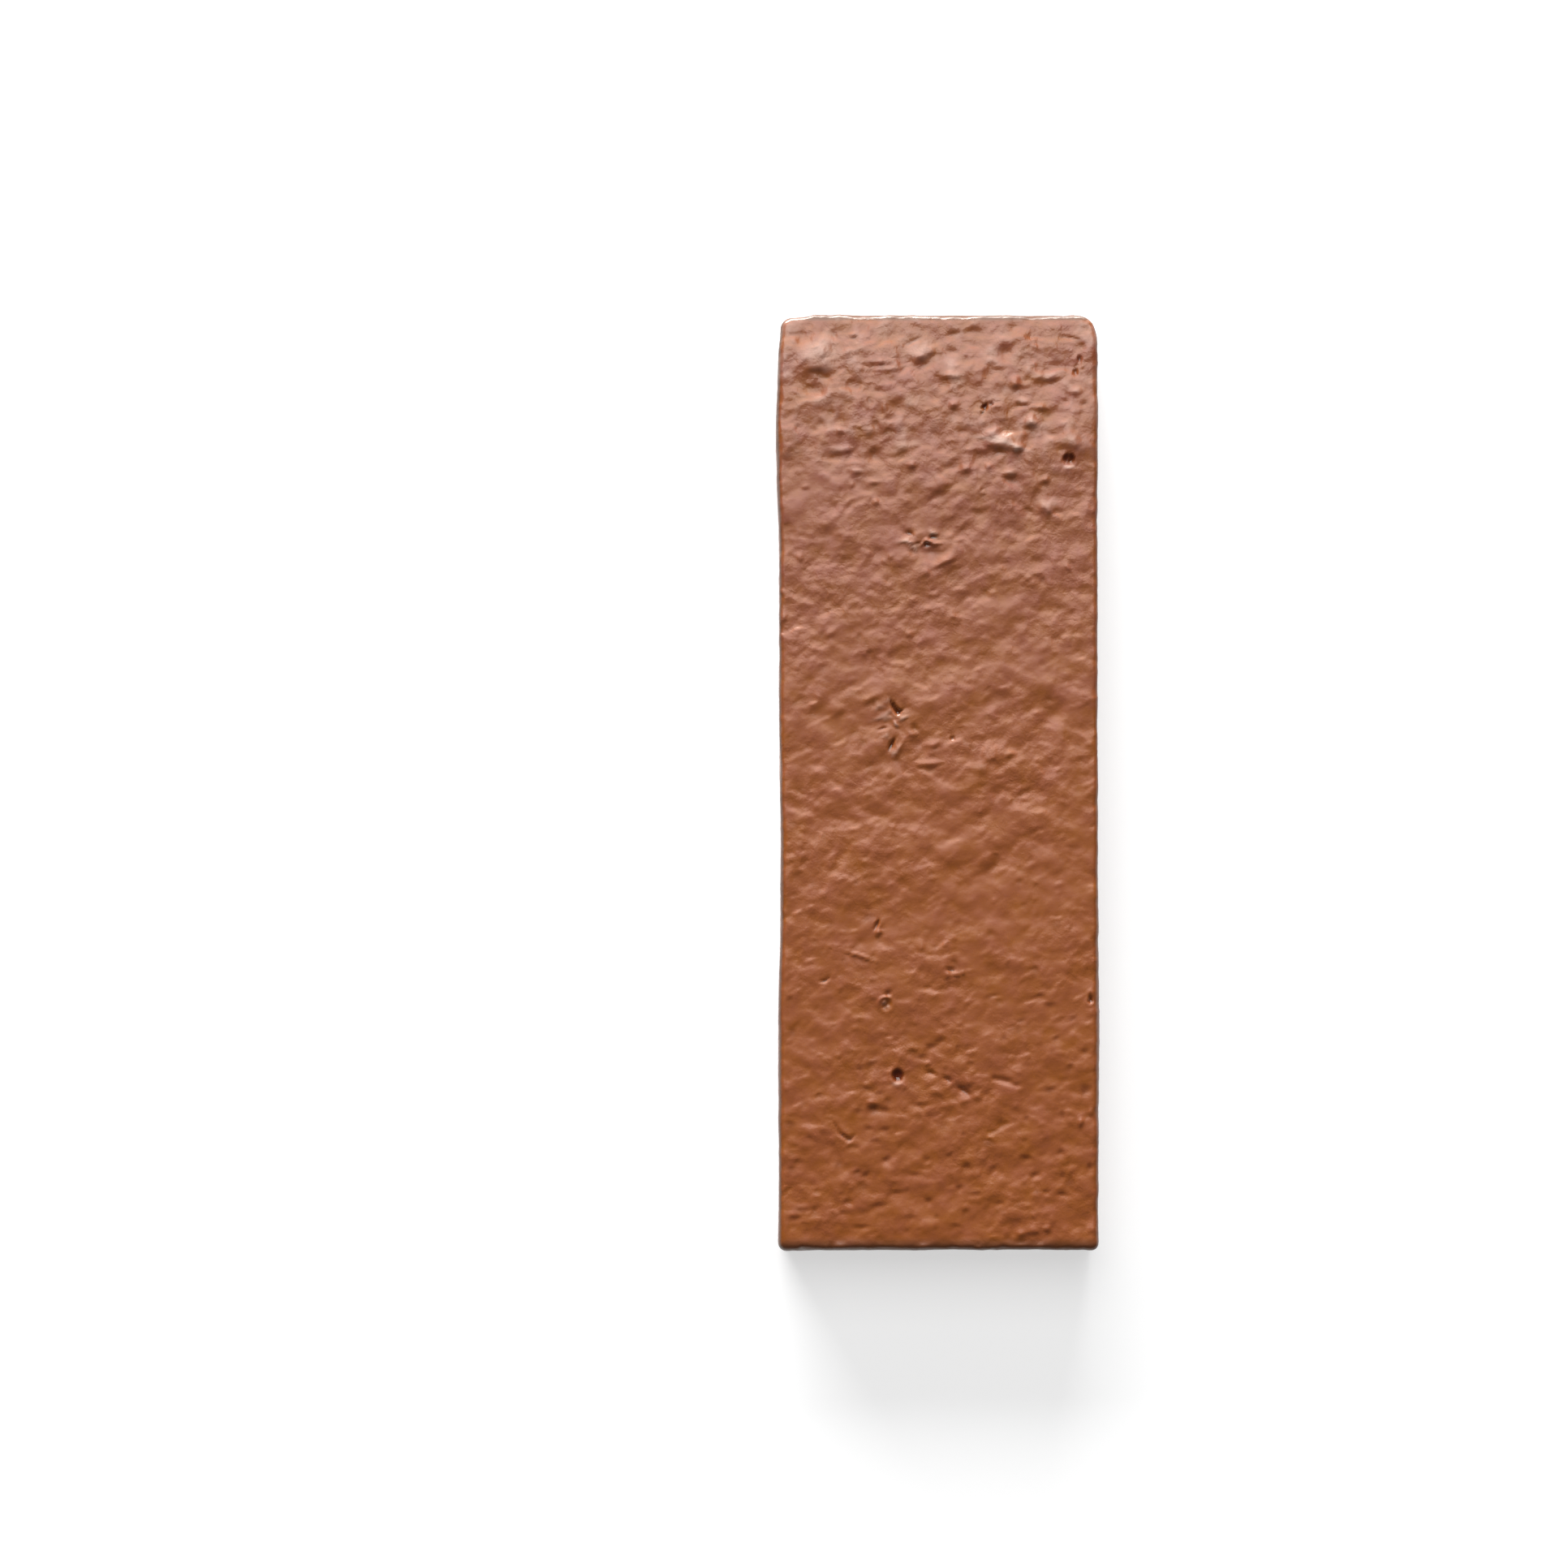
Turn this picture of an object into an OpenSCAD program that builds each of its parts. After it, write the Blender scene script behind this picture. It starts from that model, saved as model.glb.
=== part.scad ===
// Glazed thin brick, lying on its back with the glazed face up.
// Millimetres. Z is up, Y runs along the brick, and the origin is the centre of the back.
// The brick is one fired piece: a slab whose face edges and upright corners are softly
// rounded and whose back edge has a small worn bevel.

/* [Format] */
// Length of the brick, end to end
brick_length = 190; // [150:1:260]
// Width of the brick, side to side
brick_width = 65; // [50:1:110]
// Thickness, from the back to the glazed face
brick_thickness = 16; // [12:0.5:30]

/* [Edges] */
// Radius of the rounded edge all round the glazed face
face_edge_radius = 1.5; // [0.5:0.25:2.25]
// Radius of the four upright corners
corner_radius = 2.5; // [2.5:0.5:10]
// Height and depth of the bevel round the back
back_bevel = 0.5; // [0.2:0.1:1.5]

/* [Hidden] */
$fn = 96;
half_width = brick_width / 2;
half_length = brick_length / 2;
// Centres of the upright corners
corner_x = half_width - corner_radius;
corner_y = half_length - corner_radius;
// Height at which the face's rounded edge starts
edge_start = brick_thickness - face_edge_radius;

// Half of the brick's section, from its middle at x = 0 out to one side at x = reach
module half_section(reach) {
    polygon([
        [0, 0],
        [reach - back_bevel, 0],
        [reach, back_bevel],
        [reach, edge_start],
        [0, edge_start]
    ]);
    square([reach - face_edge_radius, brick_thickness]);
    translate([reach - face_edge_radius, edge_start])
        intersection() {
            circle(r = face_edge_radius);
            square(face_edge_radius);
        }
}

// Whole section between two opposite sides, drawn upright and extruded along Y
module slab(reach, run) {
    rotate([90, 0, 0])
        linear_extrude(height = run, center = true) {
            half_section(reach);
            mirror([1, 0]) half_section(reach);
        }
}

// One upright corner, turned from the same section as the sides
module corner_post() {
    rotate_extrude() half_section(corner_radius);
}

module thin_brick() {
    color("#9A5A3A")
        union() {
            slab(half_width, 2 * corner_y);
            rotate([0, 0, 90]) slab(half_length, 2 * corner_x);
            for (x = [-corner_x, corner_x], y = [-corner_y, corner_y])
                translate([x, y, 0]) corner_post();
        }
}

thin_brick();
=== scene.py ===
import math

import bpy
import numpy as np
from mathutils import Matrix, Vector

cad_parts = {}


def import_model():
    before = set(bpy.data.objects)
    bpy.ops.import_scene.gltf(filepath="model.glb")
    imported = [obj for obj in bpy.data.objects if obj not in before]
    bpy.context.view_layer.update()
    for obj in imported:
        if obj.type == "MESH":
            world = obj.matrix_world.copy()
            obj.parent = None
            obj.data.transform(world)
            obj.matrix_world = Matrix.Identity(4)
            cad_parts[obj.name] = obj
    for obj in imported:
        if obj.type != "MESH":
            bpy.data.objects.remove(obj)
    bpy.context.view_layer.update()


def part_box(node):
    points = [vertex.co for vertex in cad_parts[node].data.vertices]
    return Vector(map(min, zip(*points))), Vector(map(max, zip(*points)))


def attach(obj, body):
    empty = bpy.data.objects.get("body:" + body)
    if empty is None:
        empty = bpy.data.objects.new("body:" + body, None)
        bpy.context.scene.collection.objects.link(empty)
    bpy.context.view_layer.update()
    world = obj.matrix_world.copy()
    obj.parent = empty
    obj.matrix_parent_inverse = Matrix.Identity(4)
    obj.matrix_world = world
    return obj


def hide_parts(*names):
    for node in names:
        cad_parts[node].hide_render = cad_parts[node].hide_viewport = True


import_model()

# A glazed thin brick lying on its back: a rounded slab of fired clay with a wrinkled, hand-thrown face
# under a brown gloss glaze. Sizes of the brick are in millimetres, and those of the stage in metres.
# x runs across the brick, y along it from its near to its far end, and z up from its back.

MM = 0.001
low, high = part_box("thin_brick")
WIDTH, LENGTH, THICKNESS = (high - low) / MM


# ---------------------------------------------------------------- node helpers

class Value:
    """A number that changes over a surface. Adding or multiplying values adds Math nodes to their graph."""

    def __init__(self, graph, socket):
        self.graph = graph
        self.socket = socket

    def __add__(self, other):
        return self.graph.math("ADD", self, other)

    def __sub__(self, other):
        return self.graph.math("SUBTRACT", self, other)

    def __mul__(self, other):
        return self.graph.math("MULTIPLY", self, other)

    def __truediv__(self, other):
        return self.graph.math("DIVIDE", self, other)

    def __radd__(self, other):
        return self.graph.math("ADD", other, self)

    def __rsub__(self, other):
        return self.graph.math("SUBTRACT", other, self)

    def __rmul__(self, other):
        return self.graph.math("MULTIPLY", other, self)

    def __neg__(self):
        return self.graph.math("MULTIPLY", self, -1.0)


class Graph:
    """Builds one node tree. What a node reads is a plain number, a Value or a socket."""

    def __init__(self, tree):
        self.tree = tree

    def feed(self, socket, what):
        if isinstance(what, Value):
            what = what.socket
        if isinstance(what, bpy.types.NodeSocket):
            self.tree.links.new(what, socket)
        else:
            socket.default_value = what

    def node(self, kind, inputs=None, **settings):
        made = self.tree.nodes.new(kind)
        for name, setting in settings.items():
            setattr(made, name, setting)
        for key, what in (inputs or {}).items():
            self.feed(made.inputs[key], what)
        return made

    def given(self):
        """What the tree is given from outside, by name."""
        sockets = self.node("NodeGroupInput").outputs
        return {socket.name: Value(self, socket) for socket in sockets if socket.name}

    def change(self, kind, shape, inputs=None, **settings):
        """A shape, once a node of this kind has changed it."""
        return self.node(kind, {0: shape, **(inputs or {})}, **settings).outputs[0]

    def value(self, kind, inputs=None, **settings):
        return Value(self, self.node(kind, inputs, **settings).outputs[0])

    def math(self, operation, *values):
        return self.value("ShaderNodeMath", dict(enumerate(values)), operation=operation)

    def vector(self, operation, *values, out=0):
        made = self.node("ShaderNodeVectorMath", dict(enumerate(values)), operation=operation)
        return made.outputs[out]

    def scaled(self, vector, by):
        made = self.node("ShaderNodeVectorMath", {0: vector}, operation="SCALE")
        self.feed(made.inputs["Scale"], by)
        return made.outputs[0]

    def parts(self, vector):
        made = self.node("ShaderNodeSeparateXYZ", {0: vector})
        return [Value(self, socket) for socket in made.outputs]

    def joined(self, x, y, z):
        return self.node("ShaderNodeCombineXYZ", {0: x, 1: y, 2: z}).outputs[0]

    def ramp(self, value, start, end, to_start=0.0, to_end=1.0, smooth=True):
        """value carried from start..end to to_start..to_end, and held at both ends."""
        kind = "SMOOTHSTEP" if smooth else "LINEAR"
        inputs = {"Value": value, "From Min": start, "From Max": end, "To Min": to_start, "To Max": to_end}
        return self.value("ShaderNodeMapRange", inputs, interpolation_type=kind, clamp=True)

    def noise(self, where, size, detail=2.0, rough=0.5, seed=0.0):
        """Soft noise from about -1 to 1 with features of that size, in the unit of where."""
        place = self.vector("ADD", self.scaled(where, 1.0 / size), (seed, seed * 1.7, seed * 0.6))
        inputs = {"Vector": place, "Scale": 1.0, "Detail": detail, "Roughness": rough}
        return self.value("ShaderNodeTexNoise", inputs) * 2.0 - 1.0

    def dimples(self, where, size, reach, share):
        """Scattered round dimples from 0 to 1: one in each cell of that size, in this share of the cells."""
        cells = self.node("ShaderNodeTexVoronoi", {"Vector": self.scaled(where, 1.0 / size), "Scale": 1.0})
        red, green, blue = self.parts(cells.outputs["Color"])
        chosen = self.math("LESS_THAN", red, share)
        away = Value(self, cells.outputs["Distance"]) / (reach * (0.6 + green * 0.5))
        bowl = self.math("MAXIMUM", 1.0 - away, 0.0)
        return bowl * bowl * (3.0 - 2.0 * bowl) * chosen * (0.4 + blue * 0.6)


def mix(share, a, b):
    return a + share * (b - a)


def new_tree(kind, name, inputs, outputs):
    """A node tree with these inputs, (name, kind, value), and outputs, (name, kind), and its graph."""
    tree = bpy.data.node_groups.new(name, kind)
    for label, socket_kind, value in inputs:
        socket = tree.interface.new_socket(label, in_out="INPUT", socket_type=socket_kind)
        if value is not None:
            socket.default_value = value
    for label, socket_kind in outputs:
        tree.interface.new_socket(label, in_out="OUTPUT", socket_type=socket_kind)
    return tree, Graph(tree)


# ---------------------------------------------------------------- the slab and its relief

# Where the cells of the face are drawn together for a crisp mark: (x, y, reach, pull)
CRISP_SPOTS = [
    (26.2, 65.2, 6.0, 0.5),
    (28.0, 84.2, 5.0, 0.4),
    (9.4, 75.8, 5.0, 0.4),
    (-3.5, 49.0, 6.0, 0.4),
    (-9.5, 13.0, 9.0, 0.45),
    (-12.3, -28.5, 4.0, 0.4),
    (-10.7, -43.5, 5.0, 0.45),
    (30.0, -43.6, 3.0, 0.3),
    (-8.3, -59.0, 6.0, 0.5),
]


def lens_tree():
    """Geometry Nodes group that draws the points near a place together."""
    tree, g = new_tree("GeometryNodeTree", "gather_points", [
        ("Position", "NodeSocketVector", None),
        ("Middle", "NodeSocketVector", None),
        ("Reach", "NodeSocketFloat", 5.0),
        ("Pull", "NodeSocketFloat", 0.4),
    ], [("Position", "NodeSocketVector")])
    given = g.given()
    away = g.vector("MULTIPLY", g.vector("SUBTRACT", given["Position"], given["Middle"]), (1.0, 1.0, 0.0))
    share = Value(g, g.vector("LENGTH", away, out=1)) / given["Reach"]
    near = g.math("MAXIMUM", 1.0 - share * share, 0.0)
    drawn = g.scaled(away, near * near * given["Pull"])
    g.node("NodeGroupOutput", {0: g.vector("SUBTRACT", given["Position"], drawn)})
    return tree


def rounded_slab(g, given):
    """A box of even cells without its underside, rounded and bevelled like the fired slab."""
    width = given["Width"]
    length = given["Length"]
    thick = given["Thickness"]
    corner = given["Corner Radius"]
    edge = given["Face Edge Radius"]
    box = g.node("GeometryNodeMeshCube", {
        "Size": g.joined(width, length, thick),
        "Vertices X": given["Points Across"],
        "Vertices Y": given["Points Along"],
        "Vertices Z": given["Points Deep"],
    })
    facing = g.node("GeometryNodeInputNormal").outputs[0]
    underside = g.math("LESS_THAN", g.parts(facing)[2], -0.5)
    shell = g.change("GeometryNodeDeleteGeometry", box.outputs[0], {"Selection": underside}, domain="FACE")

    # Points go out from an inner rectangle, which makes the upright corners round
    x, y, z = g.parts(g.node("GeometryNodeInputPosition").outputs[0])
    inner_x = width * 0.5 - corner
    inner_y = length * 0.5 - corner
    core_x = g.math("MAXIMUM", g.math("MINIMUM", x, inner_x), -inner_x)
    core_y = g.math("MAXIMUM", g.math("MINIMUM", y, inner_y), -inner_y)
    out_x = x - core_x
    out_y = y - core_y
    outward = g.vector("NORMALIZE", g.joined(out_x, out_y, 0.0))

    # They turn down over the edge of the face, and draw in again at the bevelled back
    away = g.math("MAXIMUM", g.math("ABSOLUTE", out_x), g.math("ABSOLUTE", out_y))
    drop = thick * 0.5 - z
    on_face = g.ramp(corner - away, edge, 0.0, smooth=False)
    on_side = g.ramp(drop, 0.0, edge, smooth=False)
    turn = (on_face + on_side) * (math.pi / 4)
    reach = g.math("MINIMUM", away, corner - edge) + edge * g.math("SINE", turn)
    reach = reach - g.math("MAXIMUM", given["Back Bevel"] - (thick - drop), 0.0)
    height = thick - g.math("MAXIMUM", drop - edge, 0.0) - edge * (1.0 - g.math("COSINE", turn))
    rounded = g.vector("ADD", g.joined(core_x, core_y, height), g.scaled(outward, reach))
    return g.change("GeometryNodeSetPosition", shell, {"Position": rounded})


def with_crisp_spots(g, given, slab):
    """The slab with finer cells on its face wherever a listed mark needs a crisp outline."""
    lens = lens_tree()
    at = g.node("GeometryNodeInputPosition").outputs[0]
    drawn = at
    for x, y, reach, pull in CRISP_SPOTS:
        spot = {"Position": drawn, "Middle": (x, y, 0.0), "Reach": reach, "Pull": pull}
        drawn = g.node("GeometryNodeGroup", spot, node_tree=lens).outputs[0]
    on_top = g.ramp(g.parts(at)[2], given["Thickness"] - 0.5, given["Thickness"] - 0.1)
    shift = g.scaled(g.vector("SUBTRACT", drawn, at), on_top)
    return g.change("GeometryNodeSetPosition", slab, {"Offset": shift})


def clay_skin(g, given, along, grain, face_share):
    """The skin of the clay: its height, how far it leans to the far end, and masks for the glaze.

    along is the way from the near to the far end, and grain is the place that the noise is read at.
    """
    toward_far = g.ramp(along, -70.0, 80.0, smooth=False)

    # The drag of the clay wobbles a little and rises to the right
    warp = g.node("ShaderNodeTexNoise", {"Vector": g.scaled(grain, 1 / 5.0), "Scale": 1.0, "Detail": 0.5})
    wobble = g.vector("SUBTRACT", warp.outputs["Color"], (0.5, 0.5, 0.5))
    bent = g.vector("ADD", grain, g.scaled(wobble, 1.6))
    drag = {"Vector": bent, "Axis": (0, 0, 1), "Angle": given["Drag Angle"]}
    flow = g.node("ShaderNodeVectorRotate", drag, rotation_type="AXIS_ANGLE").outputs[0]
    short_streaks = g.vector("MULTIPLY", flow, (0.85, 1.0, 0.85))
    long_streaks = g.vector("MULTIPLY", flow, (0.4, 1.0, 1.0))

    # Rough patches and calm ones
    patches = g.noise(grain, 6.0, detail=2.0, seed=12.0) + 0.7 * g.noise(grain, 21.0, detail=0.0, seed=15.0)
    rough_zone = g.ramp(patches + toward_far * 0.6, -0.2, 0.8, 0.2, 2.0, smooth=False)
    rough_zone = rough_zone + g.ramp(along, -45.0, -62.0, 0.0, 0.4)

    # Broad forms, stronger toward both ends
    swell = g.noise(flow, 13.0, detail=0.5, seed=3.1)
    knolls = g.noise(flow, 5.0, detail=0.6, seed=6.6)
    broad = swell * given["Broad Swell"] + knolls * given["Knolls"]
    broad = broad * (0.95 + toward_far * 0.65 + g.ramp(along, -50.0, -80.0) * 0.3)

    # Torn forms, stronger in the rough patches
    lumps = g.noise(flow, 2.5, detail=1.0, seed=1.3)
    folds = 0.3 - g.math("ABSOLUTE", g.noise(flow, 2.6, detail=1.0, seed=31.0))
    wrinkles = g.noise(bent, 1.2, detail=1.0, seed=5.2)
    pimples = g.ramp(g.noise(bent, 1.7, detail=0.5, seed=41.0), 0.2, 1.0)
    ridges = g.ramp(g.noise(long_streaks, 1.35, detail=1.0, seed=45.0), 0.15, 0.8)
    ridges = ridges * g.ramp(along, -80.0, -60.0, 0.6, 1.0) * g.ramp(along, 20.0, 60.0, 1.0, 0.4)
    torn = lumps * given["Lumps"] * (0.55 + rough_zone * 0.45) + ridges * given["Ridges"]
    small = folds * given["Folds"] + wrinkles * given["Wrinkles"] + pimples * given["Pimples"]
    torn = torn + small * rough_zone

    # Dents all over, and round dimples that thin out toward the far end
    dents = g.ramp(g.noise(flow, 3.4, detail=1.0, seed=17.0), 0.28, 0.7)
    dimples = g.dimples(short_streaks, 3.4, 0.45, 0.5) + g.dimples(short_streaks, 2.0, 0.45, 0.25) * 0.6
    dimples = dimples * g.ramp(g.noise(grain, 14.0, detail=1.0, seed=23.0) - toward_far, -0.9, 0.2)

    height = broad + torn - dents * given["Dents"] - dimples * given["Dimples"]
    lean = (lumps + knolls * 2.0) * given["Lean"] * g.ramp(along, -85.0, -60.0)
    lean = (lean + ridges * 0.25 + dents * 0.3 + dimples * 0.3) * face_share
    masks = {
        "crest": knolls * 0.15 + lumps * 0.35 + wrinkles * 0.2 - dents * 0.6 - dimples * 0.5,
        "rough_zone": rough_zone,
        # Darker pooled glaze in the dents and dimples, which also stands in as painted shade in these hollows
        "pool": g.math("MAXIMUM", dents * 0.6, dimples * 0.8) * face_share,
    }
    return height, lean, masks


def pressed_slab(g, given, slab):
    """The slab with its skin in relief and its outline uneven, and with masks that the glaze reads."""
    width = given["Width"]
    length = given["Length"]
    place = g.node("GeometryNodeInputPosition").outputs[0]
    facing = g.node("GeometryNodeInputNormal").outputs[0]
    x, y, z = g.parts(place)
    up = g.parts(facing)[2]
    face_share = g.ramp(up, 0.1, 0.9)
    seed = given["Seed"]
    grain = g.vector("ADD", place, g.joined(seed, seed, seed))
    flat = g.vector("MULTIPLY", grain, (1.0, 1.0, 0.0))

    # The relief is full on the face, weaker on the sides and at the far edge, and none at the back
    skin, lean, masks = clay_skin(g, given, y, grain, face_share)
    depth = mix(face_share, 0.6, 1.0) * g.ramp(z, 0.5, 4.0) * g.ramp(y, 92.0, 94.5, 1.0, 0.45)
    push = g.scaled(facing, skin * depth)

    # The sides wander in and out
    wander = g.noise(flat, 55.0, detail=1.0, seed=21.0) * given["Side Wander"] - given["Side Inset"]
    side_share = (1.0 - face_share) * g.ramp(z, 0.0, 2.0, 0.6, 1.0)
    sideways = g.vector("MULTIPLY", facing, (1.0, 1.0, 0.0))
    push = g.vector("ADD", push, g.scaled(sideways, wander * side_share))

    # The face lies a little low, falls toward its far end and rolls over at its rim
    fall = g.ramp(y, length * 0.5 - 32.0, length * 0.5, smooth=False)
    from_side = width * 0.5 - g.math("ABSOLUTE", x) + 1.5
    from_end = length * 0.5 - g.math("ABSOLUTE", y) + 0.8
    roll = g.ramp(g.math("MINIMUM", from_side, from_end), 3.5, 0.3, smooth=False)
    sag = given["Sunken Face"] + fall * fall * given["Crown"] + roll * roll * given["Rim Roll"]
    upper = g.ramp(z, 4.0, given["Thickness"] - 1.0, smooth=False)
    draw_in = g.ramp(y, -60.0, -95.0, 0.0, 0.65, smooth=False)
    push = g.vector("ADD", push, g.joined(0.0, lean + draw_in, -(sag * upper)))

    # The glaze stops in a wavy line above the back, and runs down to it at the far end
    line = g.noise(flat, 9.0, detail=2.0, seed=51.0) * 1.2 + g.noise(flat, 60.0, detail=0.0, seed=53.0) * 1.5
    masks["bare"] = g.ramp(z + line + g.ramp(y, 84.0, 94.0, 0.0, 5.0), 3.1, 2.4)
    missing_glaze = masks["bare"] * g.ramp(z, 0.3, 1.0) * given["Glaze Thickness"]
    push = g.vector("ADD", push, g.scaled(facing, -missing_glaze))

    masks["arris"] = g.ramp(up, 0.99, 0.75) * g.ramp(up, 0.05, 0.4)
    for name, mask in masks.items():
        stored = {"Name": name, "Value": mask}
        slab = g.change("GeometryNodeStoreNamedAttribute", slab, stored, data_type="FLOAT")
    return g.change("GeometryNodeSetPosition", slab, {"Offset": push})


def closed_slab(g, slab):
    """The slab with a flat back that closes its open rim."""
    neighbours = g.node("GeometryNodeInputMeshEdgeNeighbors").outputs[0]
    open_edge = g.math("LESS_THAN", neighbours, 1.5)
    rim = g.change("GeometryNodeMeshToCurve", slab, {"Selection": open_edge})
    back = g.change("GeometryNodeFlipFaces", g.change("GeometryNodeFillCurve", rim))
    whole = g.node("GeometryNodeJoinGeometry")
    for part in (slab, back):
        g.feed(whole.inputs[0], part)
    return g.change("GeometryNodeMergeByDistance", whole.outputs[0], {"Distance": 0.001})


def slab_tree():
    """Geometry Nodes that make the brick: a rounded slab in relief, with a flat back of bare clay."""
    number = "NodeSocketFloat"
    count = "NodeSocketInt"
    tree, g = new_tree("GeometryNodeTree", "glazed_slab", [
        ("Width", number, 65.0),
        ("Length", number, 190.0),
        ("Thickness", number, 16.0),
        ("Corner Radius", number, 2.5),
        ("Face Edge Radius", number, 1.5),
        ("Back Bevel", number, 0.5),
        ("Points Across", count, 161),
        ("Points Along", count, 451),
        ("Points Deep", count, 15),
        ("Drag Angle", number, -0.35),
        ("Broad Swell", number, 0.21),
        ("Knolls", number, 0.21),
        ("Lumps", number, 0.14),
        ("Folds", number, 0.04),
        ("Wrinkles", number, 0.04),
        ("Pimples", number, 0.14),
        ("Ridges", number, 0.14),
        ("Dents", number, 0.12),
        ("Dimples", number, 0.12),
        ("Lean", number, 0.3),
        ("Sunken Face", number, 0.55),
        ("Crown", number, 1.1),
        ("Rim Roll", number, 0.3),
        ("Side Wander", number, 0.5),
        ("Side Inset", number, 0.25),
        ("Glaze Thickness", number, 0.12),
        ("Seed", number, 0.0),
        ("Glaze", "NodeSocketMaterial", None),
        ("Clay", "NodeSocketMaterial", None),
    ], [("Geometry", "NodeSocketGeometry")])
    given = g.given()
    slab = rounded_slab(g, given)
    slab = with_crisp_spots(g, given, slab)
    slab = pressed_slab(g, given, slab)
    slab = closed_slab(g, slab)
    slab = g.change("GeometryNodeTransform", slab, {"Scale": (MM, MM, MM)})
    slab = g.change("GeometryNodeRealizeInstances", slab)
    facing = g.node("GeometryNodeInputNormal").outputs[0]
    on_back = g.math("LESS_THAN", g.parts(facing)[2], -0.99)
    slab = g.change("GeometryNodeSetShadeSmooth", slab, {"Shade Smooth": 1.0 - on_back})
    slab = g.change("GeometryNodeSetMaterial", slab, {"Material": given["Glaze"]})
    slab = g.change("GeometryNodeSetMaterial", slab, {"Selection": on_back, "Material": given["Clay"]})
    g.node("NodeGroupOutput", {0: slab})
    return tree


def drop_empty_slots(mesh):
    """Removes the material slots that a box of Geometry Nodes brings along and nothing wears."""
    for index in reversed(range(len(mesh.materials))):
        if mesh.materials[index] is None:
            mesh.materials.pop(index=index)


def made_by(name, tree, sizes):
    """The plain mesh object that a Geometry Nodes tree makes with these inputs."""
    holder = bpy.data.objects.new(name, bpy.data.meshes.new(name))
    bpy.context.scene.collection.objects.link(holder)
    modifier = holder.modifiers.new("shape", "NODES")
    modifier.node_group = tree
    for item in tree.interface.items_tree:
        if item.in_out == "INPUT" and item.name in sizes:
            modifier[item.identifier] = sizes[item.name]
    bpy.context.view_layer.update()
    shaped = holder.evaluated_get(bpy.context.evaluated_depsgraph_get())
    mesh = bpy.data.meshes.new_from_object(shaped)
    drop_empty_slots(mesh)
    holder.modifiers.clear()
    holder.data = mesh
    mesh.name = name
    return holder


# ---------------------------------------------------------------- marks listed one by one

def smooth(t):
    t = np.clip(t, 0.0, 1.0)
    return t * t * (3.0 - 2.0 * t)


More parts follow.
